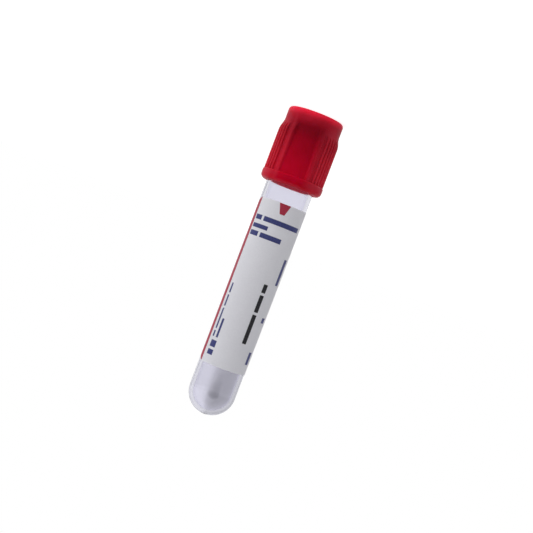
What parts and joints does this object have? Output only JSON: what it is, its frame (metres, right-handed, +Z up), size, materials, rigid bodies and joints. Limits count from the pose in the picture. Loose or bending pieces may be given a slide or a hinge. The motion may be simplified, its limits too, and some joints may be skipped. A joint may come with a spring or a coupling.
{
  "type": "blood collection tube",
  "caption": "Clear round-ended sample tube with a wrap-round label, standing on the flat top of its ribbed red safety closure, which pulls off with its rubber stopper.",
  "frame": {"origin": "centre of the closure's flat top, which it stands on", "axes": "+Z up along the tube's axis, from the closure to the round end; -Y is the front of the label"},
  "size_m": [0.0168, 0.0168, 0.0842],
  "materials": {
    "clear_plastic": "clear moulded plastic with a faint violet tint, glossy",
    "label_stock": "white coated label paper, satin",
    "stopper_rubber": "dull red rubber",
    "shield_plastic": "red moulded plastic, satin gloss"
  },
  "bodies": {
    "closure": {"stopper": "stopper_rubber", "shield": "shield_plastic"},
    "labelled_tube": {"tube": "clear_plastic", "label": "label_stock"}
  },
  "joints": [
    {"name": "closure_pull", "type": "slide", "parent": "closure", "child": "labelled_tube", "axis": [0, 0, 1], "range_m": [0, 0.02]}
  ]
}
